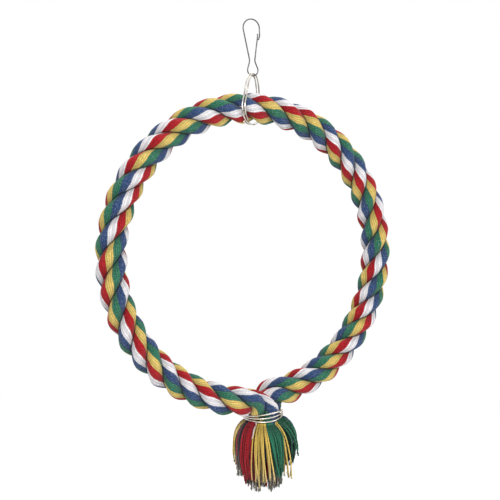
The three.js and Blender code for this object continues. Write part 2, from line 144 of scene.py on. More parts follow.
# Yarn of the strands: the five colours lie side by side round a strand, and the strand's own twist
# brings them past its crest one after the other
YARNS = 20
YARN_COLUMNS = 6
RING_STEP = 1.0
RIDGE = 0.32
RIDGE_FADE = (1.0, 0.75)  # shares of the way to a crease between which the ridges rise
LOBE_CYCLES = 1.2
LOBE_SWEEP = 0.09  # by which the yarns lean over near the creases
LOBE_SAMPLES = 201
WALL_SHARE = 0.8  # of the hidden yarns, those on the walls between the strands
COLOUR_CYCLE = (23.054, 22.8, 23.202)  # length of rope in which the colours of each strand come round
COLOUR_START = (0.3657, 0.2517, 0.2707)  # turn of the yarns round each strand at the front end
COLOUR_SLIP = (-0.08, 0.0, 0.13)  # turns by which the yarns slip round each strand near that end
SLIP_REACH = (5.0, 40.0)
# slow waves of a strand's thickness: height, millimetres for each radian, and shift from strand to strand
SWELLS = ((0.10, 7.3, 1.0), (0.08, 2.9, 2.1))
YARN_LEVEL = 0.06  # by which neighbouring yarns lie higher or lower
LEVEL_STEP = 2.4
RUN_RATE = 1.7  # of the yarn's own measure along itself, for each millimetre of rope
RUN_SLANT = 0.05

# Tassel
TASSEL_LENGTH = 55.0
TASSEL_WIDEST = 53.0 / (2 * NECK_R)
TASSEL_TIP = 40.0 / (2 * NECK_R)
FLARE_DEPTH = 15.0
FLARE_EARLY = 0.58  # power below 1, with which most of the flare comes right under the tie
LEFT_FLARE_DEPTH = 24.0
LEFT_WIDEST = 1.70
LOCK_START = 1.4  # from the middle of the lowest tie wire down to the rope's ends
LOCK_TOP_GAP = 0.7  # from there down to the locks
FIRST_LOCK = math.radians(-97)
LONG_LOCK = math.radians(-25.5)
RAGGED_STEP = 2.4
RAGGED = 2.5
OUTER_LOCKS = (
    "yellow filler red yellow yellow green yellow green green "
    "blue white red blue filler blue white red yellow"
)
MIDDLE_LOCKS = "green filler filler filler filler blue green yellow red white blue red"
INNER_LOCKS = "green blue red white white white"
# for each ring of locks: outer radius as a share of the neck's, length, how much shorter its locks get
# towards the sides, and colours
LOCK_RINGS = (
    (1.0, 52.0, 15.0, OUTER_LOCKS),
    (math.sqrt(1 / 2), 55.0, 0.0, MIDDLE_LOCKS),
    (math.sqrt(1 / 6), 51.0, 0.0, INNER_LOCKS),
)
# by ring and lock: the degrees between which its yarns stand at the neck, and hang at their tips
PLACES = {
    (0, 0): (-112, -96, -108, -94),
    (0, 1): (-98, -80, -96, -72),
    (0, 2): (-82, -47, -70, -50),
    (0, 3): (-47, -33, -51, -28),
    (0, 4): (-33, -17, -28, -1),
    (0, 5): (-17, 16, 2, 20),
    (0, 6): (16, 28, 22, 38),
    (0, 7): (28, 50, 45, 60),
    (1, 1): (-67, -37, -70, -32),
    (1, 3): (-7, 23, -8, 26),
    (1, 4): (23, 53, 34, 66),
}
# by ring and lock: the share of the full length, and how soon the yarns spread
TRIM = {
    (0, 0): 0.9,
    (0, 1): 0.97,
    (0, 2): 1.04,
    (0, 3): 0.94,
    (0, 4): 0.92,
    (0, 5): 0.9,
    (0, 7): 0.8,
    (1, 0): 0.9,
    (1, 5): 0.7,
}
SPREAD_PACE = {(0, 6): 0.5}
# single yarns of inner locks that have come out between the outer ones: colour, degrees, radius at the
# neck and length
STRAYS = (
    ("white", -48, 14.2, 10.0),
    ("white", -103, 13.6, 31.0),
    ("red", -88, 13.6, 33.0),
)
STRAY_TINT = 0.8

# Loose yarn
YARN_STEPS = 30
YARN_SIDES = 7
YARN_R = 0.56
YARN_PLIES = 2
PLY_DEPTH = 0.2
THICKER = {"filler": 1.3}
# the two layers of yarns in a lock: pitch, how deep they lie as a share of the lock, and tint, which varies
# at random and is lower on the inner layer as painted shade
LAYERS = ((0.66, (0.65, 1), (0.4, 1)), (1.0, (0, 0.45), (0, 0.4)))
FEWEST_YARNS = 3
JITTER = (0.2, 0.8)  # where in its place across the lock a yarn stands
CLUMP = 7.0  # degrees that the tips of one clump take up
CLUMPING = 0.55
OWN_LENGTH = (0.86, 1)
YARN_LEAD = 2.8  # how far up under the tie a yarn starts
LOOSENING = 1.3  # how late along its length a yarn strays from its place
SWAY = 0.8
WAVE = 0.6
SIDE_WAVES = (5, 11)  # radians that a yarn's waves to the side run through
OUT_WAVES = (4, 9)
OUT_SCATTER = 0.05
LEAST_ARM = 6  # radius below which a yarn's sway turns it no further round the tassel
NECK_SIZE = 0.8  # of a yarn's thickness where the tie grips it
NECK_GRIP = 10
TIP_TAPER = 0.2
TINT_SIZE = (0.88, 1.12)
YARN_TWIST = 1.1  # radians for each millimetre
TINT_TWIST = 9
SIDEWAYS = (0.31, 0.95, 0.0)  # a direction that no yarn takes
FRAY_STEPS = 5
FRAY_SIDES = 3
FRAY_R = 0.13
FRAY_TAPER = 0.4
FRAY_LENGTH = (1.2, 3.0)
FRAY_ROOT = 1.5  # how far above the yarn's tip a fray starts
FRAY_SPREAD = 0.4
FRAY_BEND = 0.5
FRAY_CURL = 0.25
FRAY_WAVE = 4
FRAYS = {"filler": 22}  # at the tip of one yarn
OTHER_FRAYS = 4

# Colours, linear
RED = (0.37, 0.005, 0.011)
YELLOW = (0.64, 0.47, 0.13)
GREEN = (0.020, 0.15, 0.085)
BLUE = (0.024, 0.060, 0.165)
WHITE = (0.70, 0.68, 0.70)
STRAND_COLOURS = (RED, YELLOW, GREEN, BLUE, WHITE)
FLECK = (0.5, 0.5, 0.48)
# the loose yarn is a little deeper in colour
YARN_COLOUR = {
    "red": (0.33, 0.005, 0.014),
    "yellow": (0.62, 0.43, 0.085),
    "green": (0.010, 0.125, 0.066),
    "blue": (0.022, 0.055, 0.16),
    "white": (0.68, 0.66, 0.68),
    "filler": (0.062, 0.046, 0.06),
}
TIP_COLOUR = (0.7, 0.62, 0.42)
PALE_TIP = {"yellow": 0.4, "filler": 0.3}
# steels: colour, a darker colour in random patches, which is tarnish and painted shade, and least roughness
HOOK_PLATE = ((0.13, 0.13, 0.13), (0.07, 0.07, 0.07), 0.34)
BINDING_PLATE = ((0.80, 0.76, 0.70), (0.36, 0.32, 0.27), 0.18)
CORE_PLAIN = ((0.45, 0.45, 0.44), (0.3, 0.29, 0.28), 0.35)

# Grain of the materials: a grain stretches a noise over the three measures that it is made from, a noise
# is its scale, detail and roughness, a light is how dark and how light it makes the colour, and a span
# is where on its measure that starts and ends
UNIT = (0.0, 1.0)
WAVE_SPAN = (-1.0, 1.0)
NOISE_SPAN = (0.3, 0.7)
PLY_RATE = 3.0
# painted shade in the twist between the plies and a painted highlight on the plies
PLY_PAINTED_SHADE = (0.84, 0.94)  # on dyed and on bleached yarn, as the next three
PLY_PAINTED_HIGHLIGHT = (1.12, 1.04)
# painted shade in the grooves between the yarns and a painted highlight on each yarn's crest
GROOVE_PAINTED_SHADE = (0.48, 0.76)
UNEVENNESS = (1.0, 0.5)
YARN_PAINTED_HIGHLIGHT = 1.06
GROOVE_SPAN = (0.0, 0.8)
EDGE_STEP = 0.1  # yarns by which the plies step the edge between two colours
EDGE_WANDER = 0.5
WANDER_GRAIN = (0.5, 0.35, 1.0)
DYE_LIGHT = (0.86, 1.1)
FIBRE_GRAIN = (4.0, 0.7, 1.0)
FIBRE_NOISE = (1.3, 3.0, 0.65)
FIBRE_LIGHT = (0.8, 1.14)
MOTTLE_GRAIN = (1.5, 0.28, 3.1)
MOTTLE_LIGHT = (0.86, 1.12)
TUFT_GRAIN = (1.6, 0.9, 1.0)
TUFT_NOISE = (1.0, 1.0)
TUFT_LIGHT = (0.74, 1.25)
# painted shade on a strand's flanks and in its creases, by the share of the way from crest to crease
FLANK_SPAN = (0.3, 0.95)
FLANK_PAINTED_SHADE = (1.04, 0.7)
CREASE_SPAN = (0.87, 1.0)
CREASE_PAINTED_SHADE = (1.0, 0.22)
FLECK_GRAIN = (1.0, 0.45, 0.0)
FLECK_NOISE = (1.3, 1.0)
FLECK_SPAN = (0.5, 0.72)
FLECK_SHARE = 0.05
COOL_FLECKS = 0.16  # more of them on green and blue
ROPE_ROUGHNESS = (0.78, 0.95)
ROPE_PLY_BUMP = 0.25
ROPE_BUMP = 0.00016
LOOSE_PLY_RATE = 3.2
LOOSE_GRAIN = (0.8, 3.0, 50.0)
LOOSE_NOISE = (1.5, 3.0, 0.6)
LOOSE_LIGHT = (0.75, 1.16)
# painted shade and highlight of the plies of the loose yarn
LOOSE_PLY_PAINTED_SHADE = (0.8, 1.08)
# lightness by a yarn's tint: random tone, and painted shade on the inner layer of a lock
TINT_TONE_AND_SHADE = (0.42, 1.24)
# painted shade on the sides of loose yarns that face into the tassel, and a painted highlight on their
# outer sides
OUTWARD_SPAN = (0.0, 0.9)
OUTWARD_PAINTED_SHADE = (0.22, 1.3)
TIP_ONSET = 4.0
LOOSE_ROUGHNESS = (0.7, 0.92)
LOOSE_PLY_BUMP = 0.5
LOOSE_BUMP = 0.0002
BUMP_STRENGTH = 0.8
CLOUD_NOISE = (160.0, 3.0, 0.6)
CLOUD_SPAN = (0.4, 0.65)
SPECK_NOISE = (900.0, 2.0, 0.5)
SPECK_LIGHT = (0.94, 1.04)
GLOSS_SPAN = (0.35, 0.7)
GLOSS_LOSS = 0.12

# Camera, in metres and in pixels of the picture
VIEW_AZIMUTH = math.radians(-25.46)
VIEW_ELEVATION = math.radians(3.64)
VIEW_ROLL = math.radians(-0.5)
VIEW_DISTANCE = 0.7803
FOCAL_PIXELS = 1004.1
IMAGE_PIXELS = 500
SENSOR_WIDTH = 36.0
AIM_RIGHT = 1.4
AIM_DOWN = 4.9

# Light and floor: a lamp's place from the middle of the ring and its size are in metres, its power in watts
LAMPS = (
    ("key", (-0.8, -1.5, 0.9), 0.9, 25.0),
    ("fill", (1.3, -1.2, 0.2), 1.2, 10.0),
    ("top", (0.2, 0.4, 1.6), 1.2, 17.0),
    ("back", (0.7, 1.5, 0.3), 1.2, 8.0),
)
WORLD_LIGHT = 0.36
FLOOR_DROP = 0.62
FLOOR_SIZE = 60.0
FLOOR_COLOUR = (0.8, 0.8, 0.8)
FLOOR_GLOW = 0.31
FLOOR_FADE = (0.5, 1.7)


# Mesh helpers


def smooth(low, high, value):
    share = np.clip((value - low) / (high - low), 0, 1)
    return share * share * (3 - 2 * share)


def lerp(a, b, share):
    return a + (b - a) * share


def unit(v):
    return v / np.linalg.norm(v, axis=-1, keepdims=True)


def grid_quads(rings, count, start=0):
    """Quads over rings of count points each, closed round, and the column and row at each corner."""
    row, column = np.meshgrid(np.arange(rings - 1), np.arange(count), indexing="ij")
    row, column = row.ravel(), column.ravel()
    columns = np.stack([column, column + 1, column + 1, column], 1)
    rows = np.stack([row, row, row + 1, row + 1], 1)
    return start + rows * count + columns % count, columns, rows


def cap_tris(ring, middle, flip):
    other = np.roll(ring, -1)
    tris = np.stack([ring, other, np.full(len(ring), middle)], 1)
    return tris[:, ::-1] if flip else tris


def capped(rings, start=0):
    """Points, quads and triangles of a closed skin over rings, with the column and row at each corner."""
    count, sides, _ = rings.shape
    quads, columns, rows = grid_quads(count, sides, start)
    middles = np.stack([rings[0].mean(0), rings[-1].mean(0)])
    points = np.concatenate([rings.reshape(-1, 3), middles])
    first = start + np.arange(sides)
    last = first + (count - 1) * sides
    ends = start + count * sides
    tris = np.concatenate([cap_tris(first, ends, True), cap_tris(last, ends + 1, False)])
    return points, quads, tris, columns, rows


def mesh_object(name, points, quads, tris, material, body, slot, corners=None):
    mesh = bpy.data.meshes.new(name)
    mesh.vertices.add(len(points))
    mesh.vertices.foreach_set("co", (np.asarray(points) * MM).astype(np.float32).ravel())
    loops = np.concatenate([quads.ravel(), tris.ravel()]).astype(np.int32)
    mesh.loops.add(len(loops))
    mesh.loops.foreach_set("vertex_index", loops)
    starts = np.concatenate([np.arange(len(quads)) * 4, len(quads) * 4 + np.arange(len(tris)) * 3])
    mesh.polygons.add(len(starts))
    mesh.polygons.foreach_set("loop_start", starts.astype(np.int32))
    for key, values in (corners or {}).items():
        data = mesh.attributes.new(key, "FLOAT", "CORNER").data
        filled = np.concatenate([values.ravel(), np.zeros(tris.size)])
        data.foreach_set("value", filled.astype(np.float32))
    mesh.update(calc_edges=True)
    mesh.validate()
    mesh.shade_smooth()
    mesh.materials.append(material)
    obj = bpy.data.objects.new(name, mesh)
    bpy.context.scene.collection.objects.link(obj)
    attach(obj, body)
    return obj


# Materials


def rgba(colour):
    return (*colour, 1.0)


class Look:
    """A material's node tree, with short calls to add nodes and join them."""

    def __init__(self, name):
        self.material = bpy.data.materials.new(name)
        self.material.use_nodes = True
        self.tree = self.material.node_tree
        self.shader = self.tree.nodes["Principled BSDF"]

    def put(self, socket, value):
        if isinstance(value, bpy.types.NodeSocket):
            self.tree.links.new(value, socket)
        else:
            socket.default_value = value

    def node(self, kind, inputs=None, output=0, **settings):
        made = self.tree.nodes.new(kind)
        for key, value in settings.items():
            setattr(made, key, value)
        for key, value in (inputs or {}).items():
            self.put(made.inputs[key], value)
        return made.outputs[output]

    def math(self, operation, a, b=0.0, c=0.0):
        return self.node("ShaderNodeMath", {0: a, 1: b, 2: c}, operation=operation)

    def times(self, value, *others):
        for other in others:
            value = self.math("MULTIPLY", value, other)
        return value

    def wave(self, run, rate, start):
        return self.math("SINE", self.math("MULTIPLY_ADD", run, rate, start))

    def attribute(self, name):
        return self.node("ShaderNodeAttribute", output="Fac", attribute_name=name)

    def remap(self, value, span, to):
        inputs = {"Value": value, 1: span[0], 2: span[1], 3: to[0], 4: to[1]}
        return self.node("ShaderNodeMapRange", inputs)

    def noise(self, axes, grain, scale=1.0, detail=2.0, rough=0.5):
        """Noise over three measures of the surface, each stretched by its share of the grain."""
        stretched = [self.times(axis, rate) for axis, rate in zip(axes, grain)]
        place = self.node("ShaderNodeCombineXYZ", dict(enumerate(stretched)))
        return self.cloud(place, scale, detail, rough)

    def cloud(self, place, scale, detail, rough):
        inputs = {"Vector": place, "Scale": scale, "Detail": detail, "Roughness": rough}
        return self.node("ShaderNodeTexNoise", inputs)

    def random(self, value):
        return self.node("ShaderNodeTexWhiteNoise", {"W": value}, noise_dimensions="1D")

    def shade(self, colour, value):
        """The colour made lighter or darker by a number."""
        grey = self.node("ShaderNodeCombineColor", {0: value, 1: value, 2: value})
        return self.blend(1.0, colour, grey, blend_type="MULTIPLY")

    def blend(self, share, a, b, **settings):
        inputs = {0: share, 6: a, 7: b}
        return self.node("ShaderNodeMix", inputs, output=2, data_type="RGBA", **settings)

    def bump(self, height, distance):
        inputs = {"Height": height, "Distance": distance, "Strength": BUMP_STRENGTH}
        self.put(self.shader.inputs["Normal"], self.node("ShaderNodeBump", inputs))

    def set(self, **values):
        for key, value in values.items():
            self.put(self.shader.inputs[key.replace("_", " ")], value)


def strand_colour(look, share):
    """The five colours side by side, by the share of the way round a strand."""
    ramp = look.tree.nodes.new("ShaderNodeValToRGB")
    ramp.color_ramp.interpolation = "CONSTANT"
    stops = ramp.color_ramp.elements
    for k, colour in enumerate(STRAND_COLOURS):
        place = k / len(STRAND_COLOURS)
        stop = stops[0] if k == 0 else stops.new(place)
        stop.position = place
        stop.color = rgba(colour)
    stops.remove(stops[-1])
    look.put(ramp.inputs[0], share)
    return ramp.outputs[0]


def rope_material():
    look = Look("laid_cotton")
    yarn = look.attribute("yarn")
    run = look.attribute("run")
    number = look.math("FLOOR", yarn)
    across = look.math("FRACT", yarn)
    # the plies of a yarn show as short slanting strokes of painted shade, and step the edge between two
    # colours
    twist = look.wave(run, PLY_RATE, look.times(across, TURN))
    wander = look.math("SUBTRACT", look.noise((yarn, run, number), WANDER_GRAIN), 0.5)
    moved = look.math("MULTIPLY_ADD", twist, EDGE_STEP, yarn)
    moved = look.math("MULTIPLY_ADD", wander, EDGE_WANDER, moved)
    share = look.math("FRACT", look.math("DIVIDE", moved, YARNS))
    first_cool = STRAND_COLOURS.index(GREEN) / len(STRAND_COLOURS)
    first_white = STRAND_COLOURS.index(WHITE) / len(STRAND_COLOURS)
    white = look.math("GREATER_THAN", share, first_white)
    # each yarn has its own dye and each fibre its own light, and bleached yarn is more even than dyed yarn
    dye = look.remap(look.random(number), UNIT, DYE_LIGHT)
    fibre = look.noise((across, run, number), FIBRE_GRAIN, *FIBRE_NOISE)
    mottle = look.noise((across, run, number), MOTTLE_GRAIN)
    tuft = look.noise((yarn, run, number), TUFT_GRAIN, *TUFT_NOISE)
    light = look.times(
        look.remap(fibre, NOISE_SPAN, FIBRE_LIGHT),
        look.remap(mottle, NOISE_SPAN, MOTTLE_LIGHT),
        look.remap(tuft, NOISE_SPAN, TUFT_LIGHT),
    )
    contrast = look.math("SUBTRACT", light, 1.0)
    light = look.math("MULTIPLY_ADD", contrast, look.remap(white, UNIT, UNEVENNESS), 1.0)
    # painted shade: the plies, the grooves between the yarns and the creases between the strands are
    # darker, and yarn crests get a painted highlight
    ply = look.remap(twist, WAVE_SPAN, [look.remap(white, UNIT, ends) for ends in (PLY_PAINTED_SHADE, PLY_PAINTED_HIGHLIGHT)])
    hump = look.times(across, look.math("SUBTRACT", 1.0, across), 4.0)
    groove_shade = look.remap(hump, GROOVE_SPAN, (look.remap(white, UNIT, GROOVE_PAINTED_SHADE), YARN_PAINTED_HIGHLIGHT))
    # painted shade: the strands darken towards their flanks, deepest in the creases between them
    crest = look.attribute("crest")
    flank_shade = look.remap(crest, FLANK_SPAN, FLANK_PAINTED_SHADE)
    crease_shade = look.remap(crest, CREASE_SPAN, CREASE_PAINTED_SHADE)
    # loose pale fibres show as flecks, most on the dark colours
    fleck = look.remap(look.noise((yarn, run, number), FLECK_GRAIN, *FLECK_NOISE), FLECK_SPAN, UNIT)
    past_warm = look.math("GREATER_THAN", share, first_cool)
    cool = look.times(past_warm, look.math("LESS_THAN", share, first_white))
    pale = look.times(fleck, look.math("MULTIPLY_ADD", cool, COOL_FLECKS, FLECK_SHARE))
    dyed = look.blend(pale, strand_colour(look, share), rgba(FLECK))
    look.set(Base_Color=look.shade(dyed, look.times(dye, light, groove_shade, flank_shade, crease_shade, ply)))
    look.set(Roughness=look.remap(fibre, NOISE_SPAN, ROPE_ROUGHNESS))
    look.bump(look.math("MULTIPLY_ADD", twist, ROPE_PLY_BUMP, fibre), ROPE_BUMP)
    look.set(Sheen_Weight=0.15, Sheen_Roughness=0.5, Specular_IOR_Level=0.2)
    return look.material


def yarn_material(name, colour):
    look = Look("loose_yarn_" + name)
    run = look.attribute("run")
    around = look.attribute("around")
    tint = look.attribute("tint")
    ply = look.wave(run, LOOSE_PLY_RATE, look.times(around, YARN_PLIES * TURN))
    fibre = look.noise((run, around, tint), LOOSE_GRAIN, *LOOSE_NOISE)
    # painted shade, since little light gets in between the yarns: darker on the inner layer, on inward
    # sides and between plies
    value = look.times(
        look.remap(tint, UNIT, TINT_TONE_AND_SHADE),
        look.remap(fibre, NOISE_SPAN, LOOSE_LIGHT),
        look.remap(ply, WAVE_SPAN, LOOSE_PLY_PAINTED_SHADE),
        look.remap(look.attribute("outward"), OUTWARD_SPAN, OUTWARD_PAINTED_SHADE),
    )
    pale = tuple(lerp(c, p, PALE_TIP.get(name, 0.0)) for c, p in zip(colour, TIP_COLOUR))
    at_tip = look.math("POWER", look.attribute("tip"), TIP_ONSET)
    look.set(Base_Color=look.shade(look.blend(at_tip, rgba(colour), rgba(pale)), value))
    look.set(Roughness=look.remap(fibre, NOISE_SPAN, LOOSE_ROUGHNESS))
    look.bump(look.math("MULTIPLY_ADD", ply, LOOSE_PLY_BUMP, fibre), LOOSE_BUMP)
    look.set(Sheen_Weight=0.15, Sheen_Roughness=0.5, Specular_IOR_Level=0.25)
    return look.material


def steel_material(name, colour, tarnish_and_shade, rough):
    look = Look(name)
    place = look.node("ShaderNodeTexCoord", output="Object")
    cloud = look.cloud(place, *CLOUD_NOISE)
    speck = look.cloud(place, *SPECK_NOISE)
    # darker patches from a noise cloud, partly tarnish and partly painted shade
    base = look.blend(look.remap(cloud, CLOUD_SPAN, UNIT), rgba(colour), rgba(tarnish_and_shade))
    look.set(Base_Color=look.shade(base, look.remap(speck, NOISE_SPAN, SPECK_LIGHT)))
    look.set(Roughness=look.remap(cloud, GLOSS_SPAN, (rough, rough + GLOSS_LOSS)))
    look.set(Metallic=1.0)
    return look.material


# The rope's middle line: up out of the neck in front, left round the ring, and down into the neck behind.
# A place on it is s, the millimetres from the front end.
reach = RING_R + BEND_R
off_middle = (NECK_R + NECK_SPLIT) / 2
front_neck_x = NECK_X - off_middle * math.sin(SPLIT_TURN)
back_neck_x = NECK_X + off_middle * math.sin(SPLIT_TURN)
front_x = front_neck_x - BEND_R
back_x = back_neck_x + BEND_R
front_z = -math.sqrt(reach**2 - front_x**2)
back_z = -math.sqrt(reach**2 - back_x**2)
front_turn = math.atan2(-front_z, -front_x)
back_turn = math.pi - math.atan2(-back_z, -back_x)
ring_start = math.atan2(front_z, front_x) + TURN
ring_end = math.atan2(back_z, back_x)
tie_lean = (back_z - front_z) / 2
tie_lowest = (front_z + back_z) / 2 + TIE_RISE - (TIE_WINDS - 1) * TIE_PITCH
rope_end = tie_lowest - LOCK_START
front_run = front_z - rope_end
back_run = back_z - rope_end
ring_run = RING_R * (ring_start - ring_end)
run_ends = np.cumsum((front_run, BEND_R * front_turn, ring_run, BEND_R * back_turn, back_run))
rope_total = float(run_ends[-1])


def rope_ending(s):
    """1 on the front half and -1 on the back, and how far the rope is moved aside and squeezed."""
    front = s < rope_total / 2
    to_neck = np.where(front, s - front_run, rope_total - s - back_run)
    bend = np.where(front, BEND_R * front_turn, BEND_R * back_turn)
    aside = 1 - smooth(bend + ROPE_R / 2, bend + ROPE_R / 2 + CROSSING, to_neck)
    squeeze = 1 - smooth(SQUEEZE_HOLD, bend + SQUEEZE_ONSET, to_neck)
    return np.where(front, 1.0, -1.0), aside, squeeze


def rope_place(s):
    """The middle of the rope at s, from the middle of the ring."""
    first = (s - run_ends[0]) / BEND_R
    ring = ring_start - (s - run_ends[1]) / RING_R
    last = math.pi - back_turn + (s - run_ends[2]) / BEND_R
    stretches = (
        (front_neck_x + 0 * s, rope_end + s),
        (front_x + BEND_R * np.cos(first), front_z + BEND_R * np.sin(first)),
        (RING_R * np.cos(ring), RING_R * np.sin(ring)),
        (back_x + BEND_R * np.cos(last), back_z + BEND_R * np.sin(last)),
    )
    where = [s < end for end in run_ends[:4]]
    x = np.select(where, [stretch[0] for stretch in stretches], back_neck_x)
    z = np.select(where, [stretch[1] for stretch in stretches], back_z - (s - run_ends[3]))
    side, aside, squeeze = rope_ending(s)
    crossing = np.where(side > 0, FRONT_CROSSING, BACK_CROSSING) * aside
    forward = lerp(crossing, off_middle * math.cos(SPLIT_TURN), squeeze)
    return np.stack([x, -side * forward, z], -1)


def tie_hang(angle, dip):
    """Height of the tie over its middle at an angle round the neck, from the front by way of the right."""
    return tie_lean * np.sin(angle) - dip * np.maximum(np.cos(angle), 0) ** 2


def in_rope(s, u, v):
    """Points of the round rope section at each s, squeezed into their half of the neck near an end."""
    before = rope_place(np.maximum(s - LOOK_AHEAD, 0))
    after = rope_place(np.minimum(s + LOOK_AHEAD, rope_total))
    ahead = unit(after - before)
    out = unit(np.cross(ahead, (0, 1, 0)))
    front = np.cross(ahead, out)
    side, _, squeeze = (part[:, None] for part in rope_ending(s))
    cos, sin = math.cos(SPLIT_TURN), math.sin(SPLIT_TURN)
    along_split = np.clip((u * cos - side * v * sin) / ROPE_R, -1, 1)
    off_split = (u * sin + side * v * cos) / ROPE_R
    half_disc = (off_split + np.sqrt(1 - along_split**2) - 1) / 2
    across = lerp(u, NECK_R * (along_split * cos + half_disc * sin), squeeze)
    deep = lerp(v, side * NECK_R * (half_disc * cos - along_split * sin), squeeze)
    points = rope_place(s)[:, None] + out[:, None] * across[..., None] + front[:, None] * deep[..., None]
    right = points[..., 0] - NECK_X
    share = np.minimum(np.hypot(right, points[..., 1]) / NECK_R, 1)
    hang = tie_hang(np.arctan2(right, -points[..., 1]), TIE_DIP)
    points[..., 2] += share * hang * squeeze**HANG_ONSET
    return points + (RING_X, 0, RING_Z)


# Strands: each has a round lobe outside, from crease to crease, and two flat walls to the rope's heart

strand_half = math.pi / STRANDS
lobe_out = (ROPE_R**2 - CREASE_R**2) / (2 * (ROPE_R - CREASE_R * math.cos(strand_half)))
lobe_r = ROPE_R - lobe_out
lobe_reach = math.atan2(CREASE_R * math.sin(strand_half), CREASE_R * math.cos(strand_half) - lobe_out)
lobe_edge = LOBE_CYCLES * lobe_reach / TURN + LOBE_SWEEP


def strand_turn(s, strand):
    drift = DRIFT * np.sin(TURN * (s - DRIFT_START) / DRIFT_LENGTH)
    return PHASE + drift + TURN * (s / LAY + strand / STRANDS)


def lobe_share(p):
    """How far from the crest to a crease the yarn at p lies, from -1 to 1."""
    share = np.linspace(-1, 1, LOBE_SAMPLES)
    return np.interp(p, (lobe_edge - LOBE_SWEEP) * share + LOBE_SWEEP * share**3, share)


def strand_section(p, swell):
    """Point of a strand's section at p, from -0.5 to 0.5 round it with 0 at the crest."""
    heart = (CORE_R + CORE_CLEARANCE) / math.cos(strand_half / 2)
    share = lobe_share(p)
    turn = share * lobe_reach
    inward = np.clip((np.abs(p) - lobe_edge) / (0.5 - lobe_edge), 0, 1)
    down = np.clip(inward / WALL_SHARE, 0, 1)
    home = np.clip((inward - WALL_SHARE) / (1 - WALL_SHARE), 0, 1)
    inset = STRAND_GAP / 2
    wall = lerp(CREASE_R, heart, down)
    wall_u = wall * math.cos(strand_half) + inset * math.sin(strand_half)
    wall_v = wall * math.sin(strand_half) - inset * math.cos(strand_half)
    on_lobe = np.abs(p) <= lobe_edge
    radius = lobe_r + swell * smooth(*RIDGE_FADE, np.abs(share))
    u = np.where(on_lobe, lobe_out + radius * np.cos(turn), lerp(wall_u, heart, home))
    v = np.where(on_lobe, radius * np.sin(turn), np.sign(p) * lerp(wall_v, 0, home))
    return u, v


def build_strand(strand, material):
    columns = YARNS * YARN_COLUMNS
    s = np.linspace(0, rope_total, round(rope_total / RING_STEP) + 1)
    yarn = np.arange(columns) / YARN_COLUMNS
    slip = COLOUR_SLIP[strand] * (1 - smooth(*SLIP_REACH, s))
    p = yarn / YARNS + COLOUR_START[strand] - (s / COLOUR_CYCLE[strand] + slip)[:, None]
    p = (p + 0.5) % 1 - 0.5
    across = yarn % 1
    ridge = RIDGE * (np.sqrt(4 * across * (1 - across)) - 1)
    level = YARN_LEVEL * np.sin(LEVEL_STEP * np.floor(yarn) + strand)
    uneven = sum(height * np.sin(s / length + shift * strand) for height, length, shift in SWELLS)
    u, v = strand_section(p, ridge + level + uneven[:, None])
    angle = strand_turn(s, strand)[:, None]
    cos, sin = np.cos(angle), np.sin(angle)
    rings = in_rope(s, u * cos - v * sin, u * sin + v * cos)
    points, quads, tris, corner_columns, corner_rows = capped(rings)
    crest = np.abs(lobe_share(p))
    corners = {
        "yarn": corner_columns / YARN_COLUMNS,
        "run": s[corner_rows] * RUN_RATE + corner_columns * RUN_SLANT,
        "crest": crest[corner_rows, corner_columns % columns],
    }
    name = f"laid_strand_{strand + 1}"
    obj = mesh_object(name, points, quads, tris, material, "ring", "rope_yarn", corners)
    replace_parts(obj, f"rope_strand_{strand + 1}")


# Wires


def bevelled(points, radius):
    """A row of points and the radius at each, with a small bevel at both cut ends."""
    start = points[0] + unit(points[1] - points[0]) * radius * BEVEL
    finish = points[-1] - unit(points[-1] - points[-2]) * radius * BEVEL
    points = np.concatenate([[points[0]], [start], points[1:-1], [finish], [points[-1]]])
    size = np.full(len(points), radius)
    size[[0, -1]] = radius * (1 - BEVEL)
    return points, size


def half_ball(points, size):
    """The same row with a half ball round its first point, which turns inside the wire that it meets."""
    radius = size[1]
    rise = np.radians(np.linspace(BALL_START, 90, BALL_RINGS))
    ball = points[0] - unit(points[1] - points[0]) * radius * np.cos(rise)[:, None]
    return np.concatenate([ball, points[1:]]), np.concatenate([radius * np.sin(rise), size[1:]])


def tube(points, size, sides):
    """Rings round a row of points, with frames that don't spin."""
    heading = unit(np.gradient(points, axis=0))
    across = np.array((0.0, 1.0, 0.0) if abs(heading[0][1]) < MOST_UPRIGHT else (1.0, 0.0, 0.0))
    angle = (np.arange(sides) / sides * TURN)[:, None]
    rings = []
    for middle, ahead, wide in zip(points, heading, size):
        across = unit(across - ahead * across.dot(ahead))
        along = np.cross(ahead, across)
        rings.append(middle + wide * (np.cos(angle) * across + np.sin(angle) * along))
    return np.array(rings)


def build_wire(name, points, size, sides, material, body, slot, node):
    skin, quads, tris, _, _ = capped(tube(points, size, sides))
    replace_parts(mesh_object(name, skin, quads, tris, material, body, slot), node)


def arc(centre, radius, start, end):
    angle = np.linspace(start, end, max(3, math.ceil(abs(end - start) / ARC_STEP)))
    return np.stack([centre[0] + radius * np.cos(angle), centre[1] + radius * np.sin(angle)], 1)


def touch(centre, radius, point, side):
    """Angle at which a straight line from a point touches a circle."""
    to = np.subtract(point, centre)
    return math.atan2(to[1], to[0]) + side * math.acos(radius / math.hypot(*to))


def bend(before, corner, after, radius):
    """The arc that rounds off a corner."""
    back = unit(np.subtract(before, corner))
    on = unit(np.subtract(after, corner))
    half = math.acos(back.dot(on)) / 2
    run = radius / math.tan(half)
    centre = corner + unit(back + on) * radius / math.sin(half)
    start = np.arctan2(*(corner + back * run - centre)[::-1])
    end = np.arctan2(*(corner + on * run - centre)[::-1])
    end += TURN if start - end > math.pi else -TURN if end - start > math.pi else 0
    return arc(centre, radius, start, end)


def straight(start, end, count):
    """Points inside a straight run, so that long runs have rings too."""
    return np.linspace(start, end, count)[1:-1]


def in_plane(flat):
    return np.stack([flat[:, 0], 0 * flat[:, 0], flat[:, 1]], 1)


